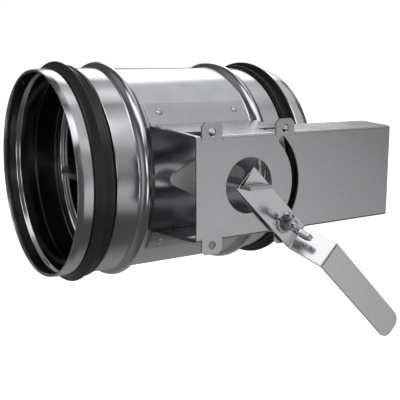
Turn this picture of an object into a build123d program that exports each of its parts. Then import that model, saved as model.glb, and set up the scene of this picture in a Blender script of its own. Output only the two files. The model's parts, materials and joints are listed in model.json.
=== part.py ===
"""Round volume control damper for a 200 mm duct, in millimetres.

Frame: the origin is the centre of the front spigot's open end. +X runs along the duct
towards the rear spigot, -Y is the side that carries the console and the lever, +Z is up.
The blade is modelled open, level with the air flow, and the lever at its open stop.
Shapes are drawn about the point where the spindle crosses the duct's axis.
"""
from build123d import *
import os
from math import cos, hypot, radians, sin

# ---------------------------------------------------------------- casing
length = 260.0                  # spigot end to spigot end
body_radius = 99.5              # outside of the plain sheet body
sheet = 0.9
spigot_radius = 97.5            # outside of the folded hem that enters the duct
hem_length = 14.0
seat_start, seat_end = 15.0, 34.4       # gasket seat, measured in from the spigot's end
step_run = 1.8                  # length of the cone up from the gasket seat to the body
bead_centre = 65.0              # stop bead, from the spindle
bead_foot, bead_crown, bead_height = 7.5, 2.2, 5.0
bush_hole_play = 0.6

# ---------------------------------------------------------------- gaskets
gasket_gap = 0.6                # from the start of its seat to the rubber
gasket_width, gasket_base = 17.0, 2.5
lip_starts, lip_thickness = (6.2, 12.6), 2.2    # the two lips, from the rubber's front edge
lip_height = 9.1

# ---------------------------------------------------------------- bar, bushes and bearing plates
bar_width, bar_thickness = 24.0, 3.2
bar_near, bar_far, bar_edge = -179.7, 106.5, 0.8
journal_radius, running_gap = 15.05, 0.05
bush_outer, bush_inner = 107.5, 94.0            # distances from the duct's axis
bush_flange_radius, bush_flange_thickness = 17.6, 2.2
bearing_sheet = 1.5
bearing_hub, bearing_tip, bearing_reach = 21.5, 6.5, 34.0
collar_wall, collar_height = 1.5, 107.0

# ---------------------------------------------------------------- blade
blade_radius, blade_sheet, blade_rim = 97.0, 1.2, 4.7
blade_bend = 1.2
notch_side_play, notch_end_play = 1.5, 1.2      # around the bushes' flanges
blade_rivet_y = (-62.0, 0.0, 62.0)
blade_rivet_radius, blade_rivet_play = 2.5, 0.05
blade_head_radius, blade_head_height = 4.6, 2.4
blade_tail_radius, blade_tail_height = 4.2, 1.6

# ---------------------------------------------------------------- console
plate_y = -163.0                # front face of the console
plate_half_height = 44.1
plate_sheet = 1.5
sheet_bend = 1.1                # inside radius of the console's bends
console_left, console_right = -54.0, 60.0       # ends of the legs, from the spindle
foot_right = 54.0               # the feet stop short of the rear bead
bead_clearance = 0.5            # between the legs' ends and the bead
shelf_right = 169.8             # free end of the console's front channel
shelf_back = -126.0             # back edge of the channel's flanges
leg_flare = 0.0745              # how far the legs open per millimetre towards the duct
leg_end = -80.0                 # the legs are drawn to here and trimmed by the duct
foot_start, foot_end = 28.0, 42.0               # degrees round the duct
window_radius = 24.5            # round window in the plate
arc_radius, arc_half_width, arc_end = 51.2, 3.95, 46.0
ear_x, ear_z, ear_hole = 38.5, 47.5, 3.7        # ear holes, from the spindle
ear_half_width, ear_root, ear_top, ear_chamfer = 10.2, 40.9, 55.7, 3.5
ear_relief_gap, ear_relief_back = 0.5, -137.0
rivet_x, rivet_angle = 41.8, 36.5
rivet_radius, rivet_hole = 1.6, 1.7
rivet_head_radius, rivet_head_height = 3.3, 1.3
rivet_tail_radius, rivet_tail_length, rivet_tail_gap = 2.4, 2.85, 0.15

# ---------------------------------------------------------------- lever
lever_angle = 45.0              # below the duct's axis at the open stop
lever_width, lever_thickness = 26.0, 2.5
lever_front = -167.7
lever_start, lever_fold, lever_end = -10.5, 72.4, 211.0
lever_step_run, lever_step_out = 17.2, 29.8     # the joggle that lifts the handle
lever_end_radius, lever_corner, lever_bend = 10.0, 1.5, 3.5
bolt_hole_play, bar_slot_play = 0.3, 0.1

# ---------------------------------------------------------------- lock
bolt_radius, bolt_end_edge, bolt_beyond_nut_seat = 3.0, 0.6, 11.5
bolt_head_half, bolt_head_height = 5.0, 4.0     # half the width across the flats
washer_radius, washer, washer_play = 9.0, 1.5, 0.1
spring_washer_radius, spring_washer, spring_washer_gap = 5.6, 1.6, 0.8
touch_gap = 0.1                 # between faces that slide on each other
hub_radius, hub_height, hub_taper = 7.0, 9.5, 8.0
wing_thickness, wing_corner = 4.8, 1.8
wing_outline = (
    (2, 2.0), (9, 2.2), (15.2, 7.0), (18.2, 11.5), (17.6, 19.4), (11.8, 18.6), (8.2, 10.2), (2, 9.0),
)

# ---------------------------------------------------------------- worked out
spindle_x = length / 2          # the spindle crosses the duct halfway
bar_half_width = bar_width / 2
bar_half = bar_thickness / 2
collar_bore = journal_radius + running_gap
foot_outside = body_radius + plate_sheet
plate_back = plate_y + plate_sheet
stack_front = lever_front - washer
nut_seat = stack_front - spring_washer - touch_gap
cut = 5.0                       # how far a cutter stands past what it cuts


def at_spindle(shape):
    """Move a shape drawn about the crossing of duct and spindle into the part's frame."""
    return Pos(spindle_x, 0, 0) * shape


def round_x(radius, x_from=-spindle_x - cut, x_to=spindle_x + cut):
    """A solid cylinder about the duct's axis."""
    return extrude(Plane.YZ.offset(x_from) * Circle(radius), x_to - x_from)


def round_y(radius, y_from, y_to, x=0.0, z=0.0):
    """A solid cylinder along Y."""
    return extrude(Plane.XZ.offset(-y_from) * Pos(x, z) * Circle(radius), -(y_to - y_from))


def round_z(radius, z_from, z_to, y=0.0):
    """A solid cylinder along Z."""
    return extrude(Plane.XY.offset(z_from) * Pos(0, y) * Circle(radius), z_to - z_from)


def block(x, y, z):
    """A box from its (low, high) limits on each axis."""
    centre = [(low + high) / 2 for low, high in (x, y, z)]
    return Pos(*centre) * Box(x[1] - x[0], y[1] - y[0], z[1] - z[0])


def both_sides(shape, plane):
    """A shape and its mirror image, joined."""
    return shape + mirror(shape, about=plane)


# ---------------------------------------------------------------- casing and gaskets
def make_casing():
    """One rolled sheet: stepped spigots, a stop bead inside each of them, and a folded hem at each end."""
    seat = spigot_radius - sheet
    step = spindle_x - seat_end
    front_half = [
        (-spindle_x, seat), (-step, seat), (-step + step_run, body_radius),
        (-bead_centre - bead_foot, body_radius), (-bead_centre - bead_crown, body_radius + bead_height),
        (-bead_centre + bead_crown, body_radius + bead_height), (-bead_centre + bead_foot, body_radius),
    ]
    rear_half = [(-x, radius) for x, radius in reversed(front_half)]
    outer_line = Polyline(*front_half, *rear_half)
    profile = offset(outer_line, sheet, kind=Kind.INTERSECTION, side=Side.RIGHT, closed=True)
    casing = revolve(make_face(profile), Axis.X)
    hem_end = -spindle_x + hem_length
    hem = round_x(spigot_radius, -spindle_x, hem_end) - round_x(seat, -spindle_x, hem_end)
    casing += both_sides(hem, Plane.YZ)
    bush_hole = round_y(journal_radius + bush_hole_play, -body_radius - cut, -bush_inner + cut)
    return casing - both_sides(bush_hole, Plane.XZ) - rivet_pattern(rivet_holes)


def make_gasket(side):
    """Rubber ring with a flat base and two lips that the duct bends over as it slides on."""
    edge = -spindle_x + seat_start + gasket_gap
    seat = spigot_radius - sheet
    ring = round_x(seat + gasket_base, edge, edge + gasket_width)
    for start in lip_starts:
        ring += round_x(seat + lip_height, edge + start, edge + start + lip_thickness)
    ring -= round_x(seat)
    return ring if side < 0 else mirror(ring, about=Plane.YZ)


# ---------------------------------------------------------------- console
def hood(inset, depth):
    """The face inside the bent sheet's outer side, or inside its inner side at an inset of one sheet."""
    front = plate_y + inset
    corner = plate_half_height - inset
    spread = corner + leg_flare * (depth - front)
    outline = Polyline((front, -corner), (front, corner), (depth, spread), (depth, -spread), close=True)
    face = make_face(outline)
    return fillet(face.vertices().sort_by(Axis.X)[:2], sheet_bend + plate_sheet - inset)


def channel_section(depth):
    """The bent sheet's front plate and its two legs, cut square at the given depth."""
    return hood(0, depth) - hood(plate_sheet, depth)


def foot_sector(side):
    """The sector of the duct's cross-section that one foot lies in."""
    reach = 2 * body_radius
    angles = (radians(foot_start), radians(foot_end))
    rim = [(-reach * cos(angle), side * reach * sin(angle)) for angle in angles]
    return make_face(Polyline((0, 0), *rim, close=True))


def footed_section():
    """The bent sheet with its legs trimmed to the duct and turned out into feet that lie on it."""
    section = channel_section(leg_end) - Circle(foot_outside)
    band = Circle(foot_outside) - Circle(body_radius)
    for side in (-1, 1):
        section += (band & foot_sector(side)) - hood(plate_sheet, 0)
    section = fillet(leg_roots(section, foot_outside), sheet_bend)
    return fillet(leg_roots(section, body_radius), sheet_bend + plate_sheet)


def leg_roots(section, radius):
    """The two corners of the section, on a circle about the duct's axis, where a leg turns into its foot."""
    on_circle = [v for v in section.vertices() if abs(hypot(v.X, v.Y) - radius) < 0.01]
    return sorted(on_circle, key=lambda v: abs(v.Y))[:2]


def extrude_x(section, x_from, x_to):
    """Extrude a section drawn across the duct, with its own X along the part's Y."""
    return extrude(Plane.YZ.offset(x_from) * section, x_to - x_from)


def make_console():
    """Bent-sheet console: plate and legs on two riveted feet, running on as a channel beside the lever."""
    console = extrude_x(footed_section(), console_left, foot_right)
    overhang = extrude_x(channel_section(leg_end), foot_right, console_right)
    console += overhang - round_x(body_radius + bead_height + bead_clearance, foot_right, console_right)
    console += extrude_x(channel_section(shelf_back), console_right, shelf_right)
    for x in (-ear_x, ear_x):
        for side in (-1, 1):
            console = with_ear(console, x, side)
    console -= round_y(window_radius, plate_y - cut, plate_back + cut)
    return console - arc_slot() - rivet_pattern(rivet_holes)


def with_ear(console, x, side):
    """Cut a relief in the leg and stand the ear up from it, in the plane of the plate."""
    relief_half = ear_half_width + ear_relief_gap
    heights = sorted((side * ear_root, side * (ear_top + cut)))
    relief = block((x - relief_half, x + relief_half), (plate_y - cut, ear_relief_back), heights)
    ear_outline = Pos(x, side * (ear_root + ear_top) / 2) * Rectangle(2 * ear_half_width, ear_top - ear_root)
    tips = ear_outline.vertices().group_by(Axis.Y)[-1 if side > 0 else 0]
    ear = extrude(Plane.XZ.offset(-plate_y) * chamfer(tips, ear_chamfer), -plate_sheet)
    return console - relief + ear - round_y(ear_hole, plate_y - cut, plate_back + cut, x, side * ear_z)


def arc_slot():
    """A cutter for the slot that guides the lock bolt."""
    arc = CenterArc((0, 0), arc_radius, -arc_end, 2 * arc_end)
    slot = Plane.XZ.offset(-plate_y + cut) * SlotArc(arc, 2 * arc_half_width)
    return extrude(slot, -(plate_sheet + 2 * cut))


# ---------------------------------------------------------------- console rivets
def rivet_pattern(make_one):
    """Four copies of a shape along -Y, turned onto the feet's rivet places."""
    places = [(x, turn) for x in (-rivet_x, rivet_x) for turn in (-rivet_angle, rivet_angle)]
    return Compound([Rot(-turn, 0, 0) * Pos(x, 0, 0) * make_one() for x, turn in places])


def rivet_holes():
    return round_y(rivet_hole, -foot_outside - cut, -body_radius + cut)


def blind_rivet():
    """A low head on the foot, the shank, and the upset end inside the duct."""
    head = round_y(rivet_head_radius, -foot_outside - rivet_head_height, -foot_outside)
    tail_start = -body_radius + sheet + rivet_tail_gap
    tail = round_y(rivet_tail_radius, tail_start, tail_start + rivet_tail_length)
    return head + round_y(rivet_radius, -foot_outside, tail_start) + tail


# ---------------------------------------------------------------- bearings
def make_bearing_plate(side):
    """Diamond plate curved to the duct, with the collar that the bush turns in."""
    lobes = Circle(bearing_hub)
    for x in (-bearing_reach, bearing_reach):
        lobes += Pos(x, 0) * Circle(bearing_tip)
    diamond = extrude(Plane.XZ * make_hull(lobes.edges()), body_radius + cut)
    span = bearing_reach + bearing_tip + cut
    duct = round_x(body_radius, -span, span)
    saddle = (round_x(body_radius + bearing_sheet, -span, span) - duct) & diamond
    collar = round_y(collar_bore + collar_wall, -collar_height, -bush_inner) - duct
    plate = saddle + collar - round_y(collar_bore, -collar_height - cut, -bush_inner + cut)
    return plate if side < 0 else mirror(plate, about=Plane.XZ)


def make_bush(side):
    """Turning bush: a round journal with a flange inside the duct and a slot for the bar."""
    journal = round_y(journal_radius, -bush_outer, -bush_inner)
    flange = round_y(bush_flange_radius, -bush_inner - bush_flange_thickness, -bush_inner)
    slot_depth = (-bush_outer - cut, -bush_inner + cut)
    bush = journal + flange - block((-bar_half_width, bar_half_width), slot_depth, (-bar_half, bar_half))
    return bush if side < 0 else mirror(bush, about=Plane.XZ)


# ---------------------------------------------------------------- spindle and blade
def make_spindle():
    """Flat bar across the duct and out to the lever, with its end corners eased."""
    bar = block((-bar_half_width, bar_half_width), (bar_near, bar_far), (-bar_half, bar_half))
    bar = chamfer(bar.edges().filter_by(Axis.Z), bar_edge)
    for y in blade_rivet_y:
        bar -= round_z(blade_rivet_radius + blade_rivet_play, -cut, cut, y)
    return bar


def make_blade():
    """Round pan under the bar: a disc with its rim turned down, notched beside the bushes."""
    top = -bar_half
    pan = round_z(blade_radius, top - blade_rim, top)
    pan = chamfer(pan.edges().sort_by(Axis.Z)[-1], blade_bend)
    pan -= round_z(blade_radius - blade_sheet, top - blade_rim, top - blade_sheet)
    notch_half = bush_flange_radius + notch_side_play
    notch_start = bush_inner - notch_end_play
    notch = block((-notch_half, notch_half), (notch_start, blade_radius + cut), (-blade_rim - cut, cut))
    pan -= both_sides(notch, Plane.XZ)
    for y in blade_rivet_y:
        pan -= round_z(blade_rivet_radius + blade_rivet_play, -blade_rim, cut, y)
    return pan


def make_blade_rivets():
    """Solid rivets that hold the pan to the bar."""
    under = -bar_half - blade_sheet
    rivets = []
    for y in blade_rivet_y:
        head = round_z(blade_head_radius, bar_half, bar_half + blade_head_height, y)
        shank = round_z(blade_rivet_radius, under, bar_half, y)
        tail = round_z(blade_tail_radius, under - blade_tail_height, under, y)
        rivets.append(head + shank + tail)
    return Compound(rivets)


# ---------------------------------------------------------------- lever and lock
def make_lever():
    """Flat strip with a square inner end, joggled outwards past the lock, round-cornered at its tip."""
    centre = lever_front + lever_thickness / 2
    handle = centre - lever_step_out
    fold_end = lever_fold + lever_step_run
    points = [(lever_start, centre), (lever_fold, centre), (fold_end, handle), (lever_end, handle)]
    line = FilletPolyline(*points, radius=lever_bend)
    strip = extrude(trace(line, lever_thickness), lever_width / 2, both=True)
    strip = fillet(strip.edges().filter_by(Axis.Y).sort_by(Axis.X)[-2:], lever_end_radius)
    strip = fillet(strip.edges().filter_by(Axis.Y).sort_by(Axis.X)[:2], lever_corner)
    strip -= round_y(bolt_radius + bolt_hole_play, lever_front - cut, lever_front + cut, arc_radius)
    strip = Rot(0, lever_angle, 0) * strip
    slot_x = bar_half_width + bar_slot_play
    slot_z = bar_half + bar_slot_play
    return strip - block((-slot_x, slot_x), (lever_front - cut, lever_front + cut), (-slot_z, slot_z))


def on_lock(shape):
    """Move a shape drawn about the Y axis onto the lock bolt's axis."""
    return Rot(0, lever_angle, 0) * Pos(arc_radius, 0, 0) * shape


def washer_ring(radius, front, thickness):
    """A washer for the lock bolt whose front face is at y = front."""
    bore = round_y(bolt_radius + washer_play, front - cut, front + thickness + cut)
    return round_y(radius, front, front + thickness) - bore


def make_friction_washer():
    """Plastic washer that the lever slides on, in front of the plate."""
    front = lever_front + lever_thickness
    return on_lock(washer_ring(washer_radius, front, plate_y - touch_gap - front))


def make_back_washer():
    return on_lock(washer_ring(washer_radius, plate_back + touch_gap, washer))


def make_clamp_washer():
    return on_lock(washer_ring(washer_radius, stack_front, washer))


def make_spring_washer():
    ring = washer_ring(spring_washer_radius, stack_front - spring_washer, spring_washer)
    half_gap = spring_washer_gap / 2
    across = (0, spring_washer_radius + cut)
    return on_lock(ring - block(across, (nut_seat - cut, stack_front + cut), (-half_gap, half_gap)))


def make_lock_bolt():
    """Hexagon bolt from behind the plate, through the arc slot and the lever."""
    head_face = plate_back + touch_gap + washer
    hexagon = RegularPolygon(bolt_head_half, 6, major_radius=False)
    head = extrude(Plane.XZ.offset(-head_face) * hexagon, -bolt_head_height)
    shank = round_y(bolt_radius, nut_seat - bolt_beyond_nut_seat, head_face)
    shank = chamfer(shank.edges().sort_by(Axis.Y)[0], bolt_end_edge)
    return on_lock(head + shank)


def make_wing_nut():
    """Wing nut with a conical hub and two thick, rounded wings that rise outwards."""
    hub = extrude(Plane.XZ.offset(-nut_seat) * Circle(hub_radius), hub_height, taper=hub_taper)
    face = make_face(Polyline(*wing_outline, close=True))
    face = fillet([v for v in face.vertices() if v.X > hub_radius + 3], wing_corner)
    wing = extrude(face, wing_thickness / 2, both=True)
    wing = Pos(0, nut_seat, 0) * mirror(wing, about=Plane.XZ)
    nut = hub + both_sides(wing, Plane.YZ)
    return on_lock(nut - round_y(bolt_radius + running_gap, nut_seat - 2 * hub_height, nut_seat + cut))


nodes = {
    "casing": make_casing(),
    "front_gasket": make_gasket(-1),
    "rear_gasket": make_gasket(1),
    "console": make_console(),
    "console_rivets": rivet_pattern(blind_rivet),
    "near_bearing_plate": make_bearing_plate(-1),
    "far_bearing_plate": make_bearing_plate(1),
    "near_bush": make_bush(-1),
    "far_bush": make_bush(1),
    "spindle": make_spindle(),
    "blade": make_blade(),
    "blade_rivets": make_blade_rivets(),
    "lever": make_lever(),
    "friction_washer": make_friction_washer(),
    "back_washer": make_back_washer(),
    "lock_bolt": make_lock_bolt(),
    "clamp_washer": make_clamp_washer(),
    "spring_washer": make_spring_washer(),
    "wing_nut": make_wing_nut(),
}

os.makedirs("parts", exist_ok=True)
for name, shape in nodes.items():
    export_step(at_spindle(shape), f"parts/{name}.step")
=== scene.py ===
"""Looks of the round volume control damper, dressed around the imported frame. Metres, row frame."""
import bmesh
import bpy
import json
from math import cos, pi, radians, sin
from mathutils import Matrix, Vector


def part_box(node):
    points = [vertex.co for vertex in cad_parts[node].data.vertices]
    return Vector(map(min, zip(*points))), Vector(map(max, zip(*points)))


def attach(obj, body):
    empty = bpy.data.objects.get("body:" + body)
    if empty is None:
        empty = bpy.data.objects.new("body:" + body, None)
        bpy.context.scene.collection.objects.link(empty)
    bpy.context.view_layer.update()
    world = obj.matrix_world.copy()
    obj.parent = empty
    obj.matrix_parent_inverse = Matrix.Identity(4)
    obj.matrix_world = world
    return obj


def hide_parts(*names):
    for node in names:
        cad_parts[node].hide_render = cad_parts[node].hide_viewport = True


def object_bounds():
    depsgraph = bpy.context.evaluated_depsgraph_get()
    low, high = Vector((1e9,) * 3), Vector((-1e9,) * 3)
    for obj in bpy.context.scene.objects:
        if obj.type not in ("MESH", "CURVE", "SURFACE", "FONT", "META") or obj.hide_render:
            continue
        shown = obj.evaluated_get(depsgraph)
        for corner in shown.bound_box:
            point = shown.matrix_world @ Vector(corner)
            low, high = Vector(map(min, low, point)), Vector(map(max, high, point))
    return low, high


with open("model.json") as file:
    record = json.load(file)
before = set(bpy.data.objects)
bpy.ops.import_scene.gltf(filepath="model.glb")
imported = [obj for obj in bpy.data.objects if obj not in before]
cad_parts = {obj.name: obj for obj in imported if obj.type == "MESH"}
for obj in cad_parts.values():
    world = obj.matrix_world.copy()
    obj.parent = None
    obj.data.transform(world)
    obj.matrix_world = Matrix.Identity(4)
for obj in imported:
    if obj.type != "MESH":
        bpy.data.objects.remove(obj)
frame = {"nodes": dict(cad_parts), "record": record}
cad_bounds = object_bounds()

mm = 0.001
record = frame["record"]
body_of = {node: body for body, nodes in record["behaviour"]["bodies"].items() for node in nodes}
slot_of = {entry["node"]: entry["material_slot"] for entry in record["subparts"]}

# ---------------------------------------------------------------- places, from the frame
casing_low, casing_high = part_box("casing")
front_end, rear_end = casing_low.x, casing_high.x
half_length = (rear_end - front_end) / 2
spindle_x = (front_end + rear_end) / 2
bead_height = 5.0 * mm
bead_radius = casing_high.z
body_radius = bead_radius - bead_height
lip_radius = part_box("front_gasket")[1].z
plate_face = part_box("console")[0].y

lever_angle = radians(45)       # how far the lever stands below the duct's axis
lock_reach = 51.2 * mm          # from the spindle to the lock bolt
lock_x = spindle_x + lock_reach * cos(lever_angle)
lock_z = -lock_reach * sin(lever_angle)

# ---------------------------------------------------------------- sheet parts
sheet = 0.9 * mm                # casing
console_sheet = 1.5 * mm
foot_outside = body_radius + console_sheet
leg_inside = 42.75 * mm         # half the room between the console's legs, at its plate
leg_splay = 0.0745              # how much wider that gets with each metre of depth
bush_bore = 15.25 * mm          # radius of the holes that the bushes turn in

# along the casing, in millimetres from its nearest end
hem_end = 7.4                   # edge of the folded hem, inside
spigot_end = 14.2
seat_start, seat_end = 17.4, 34.4   # sunk ring that carries the gasket
bead_middle = 65.0


# ---------------------------------------------------------------- node helpers
def new_nodes(tree):
    """Empty a node tree and return a function that adds a node with its settings and inputs."""
    tree.nodes.clear()

    def add(kind, inputs=(), **settings):
        node = tree.nodes.new(kind)
        for key, value in settings.items():
            setattr(node, key, value)
        for key, value in dict(inputs).items():
            if isinstance(value, bpy.types.NodeSocket):
                tree.links.new(value, node.inputs[key])
            else:
                node.inputs[key].default_value = value
        return node
    return add


def new_material(name):
    material = bpy.data.materials.new(name)
    material.use_nodes = True
    return material, new_nodes(material.node_tree)


def maths(add, operation, first, second=0.0):
    return add("ShaderNodeMath", operation=operation, inputs={0: first, 1: second}).outputs[0]


def highest(add, first, *others):
    for other in others:
        first = maths(add, "MAXIMUM", first, other)
    return first


def spread(add, source, low, high, from_low=0.0, from_high=1.0, smooth=False):
    """Carry a value from one range to another, held inside the new range."""
    inputs = {"Value": source, "From Min": from_low, "From Max": from_high, "To Min": low, "To Max": high}
    kind = "SMOOTHSTEP" if smooth else "LINEAR"
    return add("ShaderNodeMapRange", interpolation_type=kind, inputs=inputs).outputs[0]


def near(add, source, middle, full, gone):
    """1 within a distance of the middle, and 0 from a greater one."""
    away = maths(add, "ABSOLUTE", maths(add, "SUBTRACT", source, middle))
    return spread(add, away, 1.0, 0.0, full, gone)


def noise(add, place, scale, detail):
    texture = add("ShaderNodeTexNoise", inputs={"Vector": place, "Scale": scale, "Detail": detail})
    return texture.outputs["Fac"]


def vary(add, pattern, middle, swing):
    """A value that wanders about its middle with a noise pattern, whose own values keep to 0.3 to 0.7."""
    return spread(add, pattern, middle - swing, middle + swing, 0.3, 0.7)


def tinted(add, colour, tint):
    return add("ShaderNodeMix", data_type="RGBA", blend_type="MULTIPLY",
               inputs={0: 1.0, 6: (*colour, 1), 7: tint}).outputs[2]


# ---------------------------------------------------------------- finishes
def zinc(name, colour, roughness, cloud=0.05, grain=0.04, inside=None, metallic=1.0):
    """Zinc-coated steel: soft clouds and a fine sparkle in colour and gloss, on a faintly uneven surface."""
    material, add = new_material(name)
    place = add("ShaderNodeTexCoord").outputs["Object"]
    waves = noise(add, place, 14.0, 2.0)
    clouds = noise(add, place, 45.0, 4.0)
    speckle = noise(add, place, 900.0, 1.0)
    tint = maths(add, "MULTIPLY", vary(add, clouds, 1, cloud), vary(add, speckle, 1, grain))
    # an optional mask paints shade into the colour, darkening a piece's shaded hollows
    if inside:
        tint = maths(add, "MULTIPLY", tint, inside(add, place))
    gloss = maths(add, "ADD", vary(add, clouds, roughness, 0.03), vary(add, speckle, 0, 0.01))
    relief = maths(add, "ADD", maths(add, "MULTIPLY", speckle, 0.03), maths(add, "MULTIPLY", waves, 12.0))
    bump = add("ShaderNodeBump", inputs={"Height": relief, "Strength": 0.08, "Distance": 0.02 * mm})
    surface = add("ShaderNodeBsdfPrincipled", inputs={
        "Base Color": tinted(add, colour, tint), "Metallic": metallic, "Roughness": gloss,
        "Normal": bump.outputs[0]})
    add("ShaderNodeOutputMaterial", inputs={"Surface": surface.outputs[0]})
    return material


def painted_shade_in_console(add, place):
    """1 on the console's outside; lower in its channel and legs, as painted shade for the dark hollow behind
    the plate.
    """
    split = add("ShaderNodeSeparateXYZ", inputs={0: place}).outputs
    depth = maths(add, "SUBTRACT", split["Y"], plate_face)
    leg = maths(add, "ADD", maths(add, "MULTIPLY", depth, leg_splay), leg_inside)
    past_leg = maths(add, "SUBTRACT", leg, maths(add, "ABSOLUTE", split["Z"]))
    within = spread(add, past_leg, 0.0, 1.0, 0.0, 0.1 * mm)
    deep = spread(add, depth, 0.0, 1.0, 0.6 * console_sheet, 1.3 * mm)
    # painted shade: the hollow behind the plate is coloured 0.75 as dark
    return spread(add, maths(add, "MULTIPLY", within, deep), 1.0, 0.75)


def painted_shade_in_duct(add, place):
    """1 outside, on the formed rings and on the hem; lower on the plain inner wall, as painted shade for the
    dark inside of the duct.
    """
    split = add("ShaderNodeSeparateXYZ", inputs={0: place}).outputs
    squares = [maths(add, "MULTIPLY", split[axis], split[axis]) for axis in "YZ"]
    radius = maths(add, "SQRT", maths(add, "ADD", *squares))
    from_middle = maths(add, "ABSOLUTE", maths(add, "SUBTRACT", split["X"], spindle_x))
    from_end = maths(add, "SUBTRACT", half_length, from_middle)
    outside = spread(add, radius, 0.0, 1.0, body_radius - sheet, body_radius - 0.3 * sheet)
    hem = spread(add, from_end, 1.0, 0.0, (hem_end - 0.3) * mm, (hem_end + 0.2) * mm)
    spigot = maths(add, "MULTIPLY", spread(add, from_end, 1.0, 0.0, 35 * mm, 36 * mm),
                   spread(add, radius, 0.0, 1.0, 96.65 * mm, 96.9 * mm))
    step = near(add, from_end, 16 * mm, 2.0 * mm, 2.6 * mm)
    shoulder = near(add, from_end, 35.4 * mm, 1.4 * mm, 1.8 * mm)
    bead = near(add, from_end, bead_middle * mm, 6.5 * mm, 8.0 * mm)
    # painted shade: the plain inner wall is coloured 0.4 as dark
    return spread(add, highest(add, outside, hem, spigot, step, shoulder, bead), 0.4, 1.0)


def soft_black(name, colour, roughness, grain):
    """Rubber or nylon: near black, with a fine matt grain."""
    material, add = new_material(name)
    place = add("ShaderNodeTexCoord").outputs["Object"]
    fine = noise(add, place, 800.0, 3.0)
    broad = noise(add, place, 40.0, 2.0)
    tint = maths(add, "MULTIPLY", vary(add, fine, 1, grain), vary(add, broad, 1, 0.1))
    bump = add("ShaderNodeBump", inputs={"Height": fine, "Strength": 0.1, "Distance": 0.05 * mm})
    surface = add("ShaderNodeBsdfPrincipled", inputs={
        "Base Color": tinted(add, colour, tint), "Roughness": roughness, "Normal": bump.outputs[0]})
    add("ShaderNodeOutputMaterial", inputs={"Surface": surface.outputs[0]})
    return material


finishes = {
    # the duct's plain inner wall takes painted shade from its mask
    "galvanised_sheet": zinc("galvanised_sheet", (0.64, 0.65, 0.67), 0.17, grain=0.03, inside=painted_shade_in_duct),
    # the console's channel and legs take painted shade from their mask
    "console_sheet": zinc("console_sheet", (0.60, 0.60, 0.62), 0.25, 0.03, 0.07, inside=painted_shade_in_console),
    # the pan is coloured 0.2, far darker than zinc, as painted shade inside the duct
    "blade_sheet": zinc("blade_sheet", (0.2, 0.2, 0.21), 0.3),
    "bearing_sheet": zinc("bearing_sheet", (0.92, 0.92, 0.93), 0.4, metallic=0.3),
    "lever_steel": zinc("lever_steel", (0.76, 0.76, 0.78), 0.22, 0.03, 0.06),
    "bar_steel": zinc("bar_steel", (0.60, 0.60, 0.62), 0.3),
    "zinc_plate": zinc("zinc_plate", (0.62, 0.63, 0.65), 0.2),
    "rivet_steel": zinc("rivet_steel", (0.70, 0.70, 0.72), 0.24),
    "epdm_rubber": soft_black("epdm_rubber", (0.028, 0.028, 0.03), 0.34, 0.2),
    "bush_plastic": soft_black("bush_plastic", (0.035, 0.035, 0.037), 0.45, 0.1),
    "washer_plastic": soft_black("washer_plastic", (0.03, 0.03, 0.032), 0.5, 0.1),
}


# ---------------------------------------------------------------- mesh helpers
def loose(name, bm):
    """An object made from a bmesh, with nothing else set."""
    mesh = bpy.data.meshes.new(name)
    bm.to_mesh(mesh)
    bm.free()
    item = bpy.data.objects.new(name, mesh)
    bpy.context.scene.collection.objects.link(item)
    return item


def dress(name, bm, node, crease=35.0):
    """Make a finished piece from a bmesh: it stands for the CAD node, rides with it and takes its finish."""
    piece = loose(name, bm)
    piece.data.shade_smooth()
    piece.data.set_sharp_from_angle(angle=radians(crease))
    piece.data.materials.append(finishes[slot_of[node]])
    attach(piece, body_of[node])
    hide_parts(node)
    return piece


def rounded_section(bm, corners):
    """A closed outline in the XZ plane; each corner is (x, z) or (x, z, rounding), in millimetres."""
    verts = [bm.verts.new((corner[0] * mm, 0, corner[1] * mm)) for corner in corners]
    face = bm.faces.new(verts)
    for vert, corner in zip(verts, corners):
        if len(corner) > 2:
            bmesh.ops.bevel(bm, geom=[vert], offset=corner[2] * mm, segments=16 if corner[2] > 5 else 5,
                            profile=0.5, affect="VERTICES", material=-1)
    return face


def turned(corners, steps):
    """A closed section turned about the X axis into a ring."""
    bm = bmesh.new()
    rounded_section(bm, corners)
    bmesh.ops.delete(bm, geom=bm.faces[:], context="FACES_ONLY")
    bmesh.ops.spin(bm, geom=bm.verts[:] + bm.edges[:], cent=(0, 0, 0), axis=(1, 0, 0), angle=2 * pi,
                   steps=steps, use_merge=True)
    bmesh.ops.remove_doubles(bm, verts=bm.verts, dist=0.001 * mm)
    bmesh.ops.recalc_face_normals(bm, faces=bm.faces)
    return bm


def slid_to(bm, start):
    """Slide a turned ring along the duct so that its x is measured from the given place."""
    bmesh.ops.translate(bm, verts=bm.verts, vec=(start, 0, 0))
    return bm


def join(target, part):
    """Add a bmesh to another one."""
    mesh = bpy.data.meshes.new("part")
    part.to_mesh(mesh)
    part.free()
    target.from_mesh(mesh)
    bpy.data.meshes.remove(mesh)


def bored(bm):
    """The casing's ring with the two round holes that the bushes turn in."""
    drill = bmesh.new()
    bmesh.ops.create_cone(drill, cap_ends=True, segments=96, radius1=bush_bore, radius2=bush_bore,
                          depth=240 * mm)
    across = Matrix.Translation((spindle_x, 0, 0)) @ Matrix.Rotation(radians(90), 4, "X")
    bmesh.ops.transform(drill, matrix=across, verts=drill.verts)
    helpers = [loose("ring", bm), loose("drill", drill)]
    bores = helpers[0].modifiers.new("bores", "BOOLEAN")
    bores.operation = "DIFFERENCE"
    bores.solver = "EXACT"
    bores.object = helpers[1]
    graph = bpy.context.evaluated_depsgraph_get()
    mesh = bpy.data.meshes.new_from_object(helpers[0].evaluated_get(graph))
    result = bmesh.new()
    result.from_mesh(mesh)
    bpy.data.meshes.remove(mesh)
    for helper in helpers:
        shell = helper.data
        bpy.data.objects.remove(helper)
        bpy.data.meshes.remove(shell)
    return result


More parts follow.
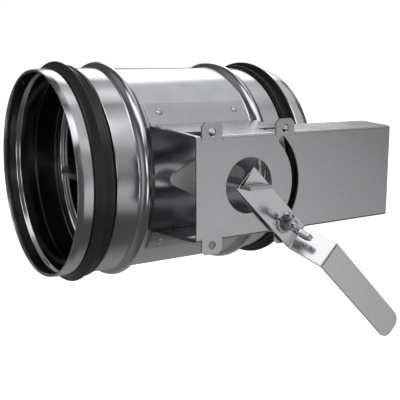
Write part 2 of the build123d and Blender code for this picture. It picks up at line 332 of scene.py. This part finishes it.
def eased(name, node, width, segments=2, crease=30.0):
    """A copy of a CAD node, its triangles joined up, with a small round on every sharp edge."""
    bm = bmesh.new()
    bm.from_mesh(frame["nodes"][node].data)
    bmesh.ops.remove_doubles(bm, verts=bm.verts, dist=0.001 * mm)
    bmesh.ops.dissolve_limit(bm, angle_limit=radians(0.5), verts=bm.verts, edges=bm.edges)
    piece = dress(name, bm, node, crease=180)
    bevel = piece.modifiers.new("eased_edges", "BEVEL")
    bevel.width = width
    bevel.segments = segments
    bevel.limit_method = "ANGLE"
    bevel.angle_limit = radians(crease)
    flats = piece.modifiers.new("flat_faces_stay_flat", "WEIGHTED_NORMAL")
    flats.mode = "FACE_AREA"
    flats.keep_sharp = True


# ---------------------------------------------------------------- casing and gaskets
def make_casing():
    """The rolled sheet's section, outer side then inner side, from each end of the duct to its middle.

    A bead's crown is a tall corner that its rounding brings down to an arc.
    """
    thick = sheet / mm
    rim, spigot, seat, wall = 98.0, 98.7, 96.6, 99.5
    outer = [
        (0.0, rim, 0.3), (5.4, spigot, 0.25), (spigot_end, spigot, 0.5),
        (seat_start, seat), (seat_end, seat, 0.5), (36.0, wall, 0.7),
        (bead_middle - 7.2, wall, 1.2), (bead_middle, wall + 12.5, 13.05), (bead_middle + 7.2, wall, 1.2),
    ]
    inner = [
        (bead_middle + 6.7, wall - thick, 1.7), (bead_middle, wall + 10.7, 11.5),
        (bead_middle - 6.7, wall - thick, 1.7), (36.3, wall - thick, 0.8), (34.8, seat - thick, 1.3),
        (seat_start, seat - thick, 0.6), (14.0, spigot - thick, 0.6), (hem_end, spigot - thick),
        (hem_end - 0.4, 95.9, 0.3), (0.0, 96.55, 0.3),
    ]
    length = 2 * half_length / mm
    far_outer = [(length - x, r, *rest) for x, r, *rest in reversed(outer)]
    far_inner = [(length - x, r, *rest) for x, r, *rest in reversed(inner)]
    section = outer + far_outer + far_inner + inner
    dress("rolled_casing", bored(slid_to(turned(section, 224), front_end)), "casing")


def make_gasket(name, node, end, towards):
    """Rubber ring: a tall lip that leans away from the duct's end, a lower one behind it, and fine ribs."""
    top = lip_radius / mm
    base = [(18.0, 96.65), (32.0, 96.65, 0.3)]
    low_lip = [(32.9, 99.0, 0.6), (32.6, 102.6, 0.9), (30.6, 101.9, 0.3)]
    ribs = [(30.2, 101.4, 0.2), (28.0, 101.1, 0.2), (27.6, 100.7, 0.2), (25.4, 100.4, 0.3),
            (23.6, 99.2, 0.6)]
    tall_lip = [(23.0, top - 0.8, 0.5), (21.9, top, 0.5), (20.6, top - 1.6, 0.2), (20.4, top - 2.2, 0.2),
                (19.2, top - 3.4, 0.2), (19.0, top - 4.0, 0.2)]
    toe = [(17.0, 99.7, 0.5), (15.9, 99.2, 0.3), (15.9, 97.6, 0.3)]
    bm = turned(base + low_lip + ribs + tall_lip + toe, 192)
    if towards < 0:
        bmesh.ops.scale(bm, verts=bm.verts, vec=(-1, 1, 1))
        bmesh.ops.recalc_face_normals(bm, faces=bm.faces)
    dress(name, slid_to(bm, end), node)


# ---------------------------------------------------------------- rivets
def add_rivet(bm, section, place):
    rivet = turned(section, 32)
    bmesh.ops.transform(rivet, matrix=place, verts=rivet.verts)
    join(bm, rivet)


def make_console_rivets():
    """Blind rivets on the console's feet: a domed flange with the broken mandrel in its hole."""
    shank = [(-4.0, 0.05), (-4.0, 2.3, 0.3), (-1.6, 2.4, 0.3), (-1.6, 1.6), (0.0, 1.6)]
    flange = [(0.0, 3.3, 0.15), (0.45, 3.2, 0.3), (1.15, 2.2, 0.5), (1.3, 1.15, 0.25)]
    mandrel = [(0.5, 0.95, 0.1), (0.3, 0.05)]
    rivet_x, rivet_angle = 41.8, 36.5
    lie = Matrix.Rotation(radians(-90), 4, "Z") @ Matrix.Translation((foot_outside, 0, 0))
    bm = bmesh.new()
    for x in (-rivet_x, rivet_x):
        for angle in (-rivet_angle, rivet_angle):
            stand = Matrix.Translation((spindle_x + x * mm, 0, 0)) @ Matrix.Rotation(radians(angle), 4, "X")
            add_rivet(bm, shank + flange + mandrel, stand @ lie)
    dress("blind_rivets", bm, "console_rivets")


def make_blade_rivets():
    """Domed rivet heads along the bar, with their flattened ends under the pan."""
    upset = [(-5.0, 0.05), (-5.0, 3.6, 0.4), (-4.4, 4.2, 0.3), (-2.85, 4.2)]
    shank = [(-2.85, 2.5), (1.6, 2.5)]
    head = [(1.6, 4.6, 0.2), (2.9, 4.0, 0.7), (3.9, 2.3, 0.9), (4.0, 0.05)]
    stand = Matrix.Rotation(radians(-90), 4, "Y")
    bm = bmesh.new()
    for y in (-62, 0, 62):
        add_rivet(bm, upset + shank + head, Matrix.Translation((spindle_x, y * mm, 0)) @ stand)
    dress("pan_rivets", bm, "blade_rivets")


# ---------------------------------------------------------------- lock
def on_lock(bm, front):
    """Stand a part turned about X on the lock bolt's axis, with its x running outwards from y = front."""
    stand = Matrix.Rotation(radians(-90), 4, "Z")
    along_lever = Matrix.Rotation(-lever_angle, 4, "Y")
    place = Matrix.Translation((lock_x, front, lock_z)) @ along_lever @ stand
    bmesh.ops.transform(bm, matrix=place, verts=bm.verts)
    return bm


def make_washer(name, node):
    """Flat round washer with eased rims, as thick as its CAD node."""
    low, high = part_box(node)
    thickness = (high.y - low.y) / mm
    bore, radius = 3.1, 9.0
    section = [(0, bore, 0.15), (0, radius, 0.3), (thickness, radius, 0.3), (thickness, bore, 0.15)]
    dress(name, on_lock(turned(section, 48), high.y), node)


def make_bolt():
    """Hexagon bolt: chamfered head behind the plate, threaded shank out to beyond the nut."""
    low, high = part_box("lock_bolt")
    head_height, pitch, crest, root = 4.0, 1.0, 3.0, 2.45
    head_radius = 5.77 * mm
    length = (high.y - low.y) / mm
    shank = [(head_height - 0.2, 0.05), (head_height - 0.2, crest), (head_height + 3, crest)]
    x = head_height + 3.5
    while x < length - 1.2:
        shank += [(x, root), (x + pitch / 2, crest)]
        x += pitch
    shank += [(length - 0.7, crest), (length, crest - 0.7), (length, 0.05)]
    bm = turned(shank, 32)
    head = bmesh.new()
    bmesh.ops.create_cone(head, cap_ends=True, segments=6, radius1=head_radius, radius2=head_radius,
                          depth=head_height * mm)
    bmesh.ops.bevel(head, geom=head.edges[:], offset=0.35 * mm, segments=2, profile=0.5, affect="EDGES",
                    material=-1)
    lie = Matrix.Translation((head_height / 2 * mm, 0, 0)) @ Matrix.Rotation(radians(90), 4, "Y")
    bmesh.ops.transform(head, matrix=lie, verts=head.verts)
    join(bm, head)
    dress("lock_bolt_m6", on_lock(bm, high.y), "lock_bolt")


def make_wing_nut():
    """Cast wing nut: a tapered hub, and two thick wings that rise outwards from it."""
    bore, hub_foot, hub_top, hub_height = 3.05, 5.9, 4.7, 9.5
    wing_thickness = 4.8 * mm
    wing_outline = [(1.6, 3.8), (2.2, 9.4, 1.5), (7.0, 15.2, 2.0), (11.5, 18.2, 0.8), (19.4, 17.6, 0.8),
                    (18.6, 11.8, 1.2), (10.2, 8.2, 1.5), (9.0, 3.8)]
    hub = [(0, bore, 0.3), (0, hub_foot, 0.5), (hub_height, hub_top, 0.8), (hub_height, bore, 0.3)]
    bm = turned(hub, 48)
    for side in (1, -1):
        wing = bmesh.new()
        rounded_section(wing, [(x, side * z, *rest) for x, z, *rest in wing_outline])
        pushed = bmesh.ops.extrude_face_region(wing, geom=wing.faces[:])["geom"]
        moved = [part for part in pushed if isinstance(part, bmesh.types.BMVert)]
        bmesh.ops.translate(wing, verts=moved, vec=(0, wing_thickness, 0))
        bmesh.ops.translate(wing, verts=wing.verts, vec=(0, -wing_thickness / 2, 0))
        bmesh.ops.recalc_face_normals(wing, faces=wing.faces)
        sharp = [edge for edge in wing.edges if edge.calc_face_angle(0) > radians(60)]
        bmesh.ops.bevel(wing, geom=sharp, offset=0.5 * mm, segments=3, profile=0.5, affect="EDGES",
                        material=-1, clamp_overlap=True)
        join(bm, wing)
    dress("cast_wing_nut", on_lock(bm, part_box("wing_nut")[1].y), "wing_nut")


# ---------------------------------------------------------------- camera, room and floor
def place_camera():
    """The viewer stands in front of the console, to its left, a little above the duct's axis."""
    left_of_spindle, in_front, above_axis = 0.3663, 0.6510, 0.0981
    turn_right, look_down, roll = 32.915, 10.321, 0.04
    data = bpy.data.cameras.new("camera")
    data.lens = 64.64
    data.sensor_width = 36.0
    data.clip_start = 0.01
    camera = bpy.data.objects.new("camera", data)
    camera.location = (spindle_x - left_of_spindle, -in_front, above_axis)
    camera.rotation_euler = (radians(90 - look_down), radians(roll), radians(-turn_right))
    bpy.context.scene.collection.objects.link(camera)
    bpy.context.scene.camera = camera


def light_the_room():
    """A grey studio with broad pale glows.

    A glow is (bearing, height, full to, gone at, strength), the first four in degrees. Bearing 0 is straight
    out from the console, 90 is the rear end of the duct, and 180 is behind the duct.
    """
    base = 0.08
    glows = [
        (145, 34, 11, 21, 1.7), (150, 8, 5, 24, 0.4),       # window behind the duct
        (108, 54, 8, 25, 0.6),                              # ceiling behind and to the right
        (100, 73, 7, 13, 0.5), (-120, 54, 8, 26, 0.17),     # ceiling overhead and to the far left
        (-50, 65, 13, 21, 1.3), (2, 54, 10, 22, 1.2),       # overhead softbox
        (-20, 38, 5, 13, 1.2),                              # its near corner
        (46, 46, 12, 30, 0.5), (28, 20, 8, 24, 0.3),        # wall to the right
        (36, -19, 8, 25, 0.45), (26, -8, 5, 20, 0.13),      # reflector low on the right
        (-20, 8, 4, 14, 1.8), (-18, -18, 4, 14, 1.5),       # upright strip beside the viewer
        (-84, 0, 5, 32, 0.4),                               # far left wall
        (132, -45, 10, 42, 0.18), (-150, -45, 10, 50, 0.1),  # ground
    ]
    backdrop = (145, 34, 10, 20)                            # white sheet behind the duct, as metal shows it
    world = bpy.data.worlds.new("studio")
    bpy.context.scene.world = world
    world.use_nodes = True
    add = new_nodes(world.node_tree)
    direction = add("ShaderNodeTexCoord").outputs["Generated"]

    def patch(bearing, height, full, gone, strength=1.0):
        b, h = radians(bearing), radians(height)
        aim = (sin(b) * cos(h), -cos(b) * cos(h), sin(h))
        facing = add("ShaderNodeVectorMath", operation="DOT_PRODUCT", inputs={0: direction, 1: aim})
        return spread(add, facing.outputs["Value"], 0.0, strength, cos(radians(gone)), cos(radians(full)),
                      smooth=True)

    total = base
    for glow in glows:
        total = maths(add, "ADD", total, patch(*glow))
    path = add("ShaderNodeLightPath").outputs
    in_metal_or_glass = maths(add, "MAXIMUM", path["Is Glossy Ray"], path["Is Transmission Ray"])
    total = maths(add, "MAXIMUM", total, maths(add, "MULTIPLY", in_metal_or_glass, patch(*backdrop)))
    shade = add("ShaderNodeMix", data_type="FLOAT", inputs={0: path["Is Camera Ray"], 2: total, 3: 1.0})
    background = add("ShaderNodeBackground", inputs={"Color": shade.outputs[0], "Strength": 1.0})
    add("ShaderNodeOutputWorld", inputs={"Surface": background.outputs[0]})


def lay_floor():
    """A wide pale floor well below the damper; what it catches of the light adds to its own white."""
    drop, half_width, own_white = 0.25, 6.0, 0.85
    bm = bmesh.new()
    bmesh.ops.create_grid(bm, x_segments=1, y_segments=1, size=half_width)
    bmesh.ops.translate(bm, verts=bm.verts, vec=(spindle_x, 0, cad_bounds[0].z - drop))
    floor = loose("floor", bm)
    material, add = new_material("floor")
    paint = add("ShaderNodeBsdfDiffuse", inputs={"Color": (0.8, 0.8, 0.8, 1)})
    path = add("ShaderNodeLightPath").outputs
    seen = maths(add, "MAXIMUM", path["Is Camera Ray"], path["Is Transmission Ray"])
    white = add("ShaderNodeEmission", inputs={"Strength": maths(add, "MULTIPLY", seen, own_white)})
    both = add("ShaderNodeAddShader", inputs={0: paint.outputs[0], 1: white.outputs[0]})
    add("ShaderNodeOutputMaterial", inputs={"Surface": both.outputs[0]})
    floor.data.materials.append(material)
    floor.visible_glossy = False


# ---------------------------------------------------------------- the whole damper
for node, piece in frame["nodes"].items():
    piece.data.materials.clear()
    piece.data.materials.append(finishes[slot_of[node]])

make_casing()
make_gasket("front_lip_seal", "front_gasket", front_end, 1)
make_gasket("rear_lip_seal", "rear_gasket", rear_end, -1)
eased("bent_console", "console", 0.3 * mm)
make_console_rivets()
eased("near_bearing_diamond", "near_bearing_plate", 0.7 * mm, segments=3)
eased("far_bearing_diamond", "far_bearing_plate", 0.7 * mm, segments=3)
eased("near_turning_bush", "near_bush", 0.4 * mm)
eased("far_turning_bush", "far_bush", 0.4 * mm)
eased("spindle_bar", "spindle", 0.35 * mm)
eased("damper_pan", "blade", 0.3 * mm)
make_blade_rivets()
eased("hand_lever", "lever", 0.35 * mm, segments=3)
make_washer("sliding_washer", "friction_washer")
make_washer("washer_behind_plate", "back_washer")
make_washer("washer_under_nut", "clamp_washer")
eased("split_spring_washer", "spring_washer", 0.15 * mm)
make_bolt()
make_wing_nut()

bpy.context.scene.view_settings.view_transform = "Standard"
place_camera()
light_the_room()
lay_floor()
